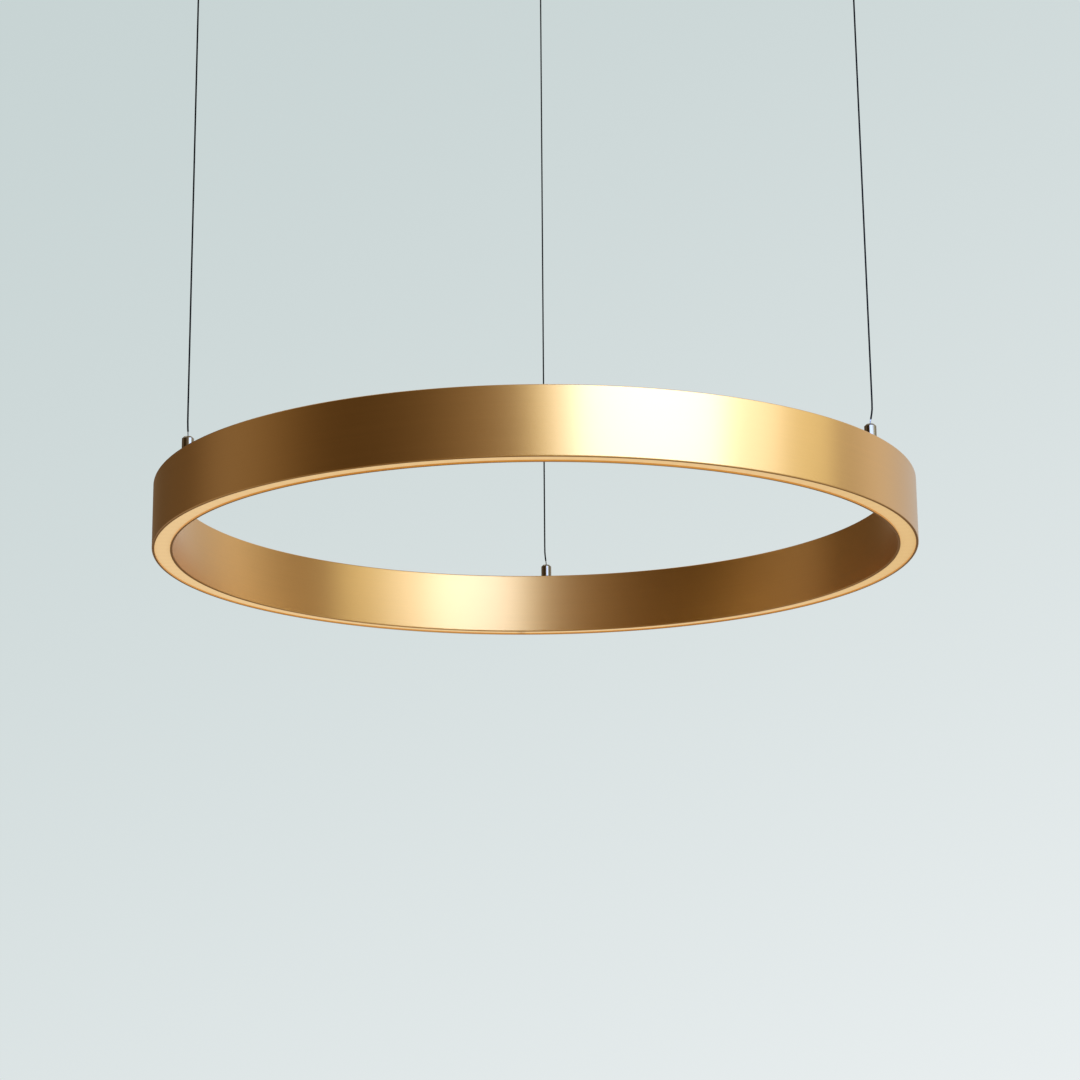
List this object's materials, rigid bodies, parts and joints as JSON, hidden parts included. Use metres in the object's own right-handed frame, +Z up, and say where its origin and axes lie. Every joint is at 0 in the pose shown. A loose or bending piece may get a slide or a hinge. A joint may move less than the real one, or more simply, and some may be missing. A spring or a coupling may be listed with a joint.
{
  "type": "ring pendant light",
  "caption": "Pendant light: a slim brass-coloured channel ring that shines down through an opal strip and hangs level on thin cables from small ceiling cups.",
  "frame": {"origin": "centre of the circle of the three ceiling screws, in the plane of the ceiling", "axes": "+Z up, +Y towards the suspension point that is farthest from the picture's camera, +X to the right in the picture"},
  "size_m": [0.6, 0.609, 0.7],
  "materials": {
    "brass_anodised": "brushed along its length, brass-coloured anodising",
    "cup_anodised": "turned, brass-coloured anodising",
    "opal": "opal, lit from behind",
    "plain_aluminium": "plain sheet",
    "board_white": "white solder mask",
    "chip_phosphor": "phosphor, lit",
    "nickel": "polished nickel plating",
    "black_polymer": "smooth",
    "fibre_washer": "smooth",
    "zinc_steel": "zinc plated",
    "bright_steel": "bright",
    "spring_steel": "drawn wire",
    "plain_brass": "turned",
    "cable_coat": "extruded black coat",
    "lead_red": "extruded",
    "lead_black": "extruded",
    "nylon": "moulded",
    "base_cast": "turned, plain",
    "inlet_rubber": "moulded"
  },
  "bodies": {
    "ceiling_set": {"ceiling_base_back": "base_cast", "ceiling_base_left": "base_cast", "ceiling_base_right": "base_cast", "ceiling_cup_back": "cup_anodised", "ceiling_cup_left": "cup_anodised", "ceiling_cup_right": "cup_anodised", "cup_screws": "bright_steel", "inlet_grommets": "inlet_rubber"},
    "gripper_back": {"gripper_body_back": "nickel", "gripper_plug_back": "plain_brass", "release_spring_back": "spring_steel"},
    "gripper_left": {"gripper_body_left": "nickel", "gripper_plug_left": "plain_brass", "release_spring_left": "spring_steel"},
    "gripper_right": {"gripper_body_right": "nickel", "gripper_plug_right": "plain_brass", "release_spring_right": "spring_steel"},
    "release_back": {"release_plunger_back": "nickel", "clamp_balls_back": "bright_steel"},
    "release_left": {"release_plunger_left": "nickel", "clamp_balls_left": "bright_steel"},
    "release_right": {"release_plunger_right": "nickel", "clamp_balls_right": "bright_steel"},
    "cable_line_back": {"cable_back": "cable_coat", "ball_end_back": "bright_steel", "end_sleeve_back": "bright_steel"},
    "cable_line_left": {"cable_left": "cable_coat", "ball_end_left": "bright_steel", "terminal_body_left": "nylon", "terminal_barrel_left": "plain_brass", "terminal_screws_left": "zinc_steel"},
    "cable_line_right": {"cable_right": "cable_coat", "ball_end_right": "bright_steel", "terminal_body_right": "nylon", "terminal_barrel_right": "plain_brass", "terminal_screws_right": "zinc_steel"},
    "lamp": {"ring_housing": "brass_anodised", "diffuser": "opal", "led_carrier": "plain_aluminium", "led_strip": "board_white", "led_chips": "chip_phosphor", "cable_socket_back": "nickel", "cable_socket_left": "nickel", "cable_socket_right": "nickel", "socket_bushes": "black_polymer", "insulating_washers": "fibre_washer", "steel_washers": "zinc_steel", "socket_nuts": "zinc_steel", "feed_lugs": "plain_brass", "feed_lead_left": "lead_red", "feed_lead_right": "lead_black"}
  },
  "joints": [
    {"name": "sway_back", "type": "hinge", "parent": "ceiling_set", "child": "gripper_back", "pos_m": [0, 0.292, -0.0375], "axis": [0, 1, 0], "range_deg": [-8, 8]},
    {"name": "sway_left", "type": "hinge", "parent": "ceiling_set", "child": "gripper_left", "pos_m": [-0.25288, -0.146, -0.0375], "axis": [0, 1, 0], "range_deg": [-8, 8]},
    {"name": "sway_right", "type": "hinge", "parent": "ceiling_set", "child": "gripper_right", "pos_m": [0.25288, -0.146, -0.0375], "axis": [0, 1, 0], "range_deg": [-8, 8]},
    {"name": "adjust_back", "type": "slide", "parent": "gripper_back", "child": "cable_line_back", "axis": [0, 0, 1], "range_m": [0, 0.012]},
    {"name": "adjust_left", "type": "slide", "parent": "gripper_left", "child": "cable_line_left", "axis": [0, 0, 1], "range_m": [0, 0.012]},
    {"name": "adjust_right", "type": "slide", "parent": "gripper_right", "child": "cable_line_right", "axis": [0, 0, 1], "range_m": [0, 0.012]},
    {"name": "level", "type": "hinge", "parent": "cable_line_back", "child": "lamp", "pos_m": [0, 0.292, -0.642], "axis": [0, 1, 0], "range_deg": [-8, 8]},
    {"name": "release_back", "type": "slide", "parent": "gripper_back", "child": "release_back", "axis": [0, 0, 1], "range_m": [0, 0.0015], "stiffness_N_per_m": 800, "springref_m": -0.002, "deforming": ["release_spring_back"]},
    {"name": "release_left", "type": "slide", "parent": "gripper_left", "child": "release_left", "axis": [0, 0, 1], "range_m": [0, 0.0015], "stiffness_N_per_m": 800, "springref_m": -0.002, "deforming": ["release_spring_left"]},
    {"name": "release_right", "type": "slide", "parent": "gripper_right", "child": "release_right", "axis": [0, 0, 1], "range_m": [0, 0.0015], "stiffness_N_per_m": 800, "springref_m": -0.002, "deforming": ["release_spring_right"]}
  ],
  "couplings": [
    {"joint": "sway_left", "follows": "sway_back", "ratio": 1},
    {"joint": "sway_right", "follows": "sway_back", "ratio": 1},
    {"joint": "level", "follows": "sway_back", "ratio": -1},
    {"joint": "adjust_left", "follows": "adjust_back", "ratio": 1},
    {"joint": "adjust_right", "follows": "adjust_back", "ratio": 1}
  ]
}
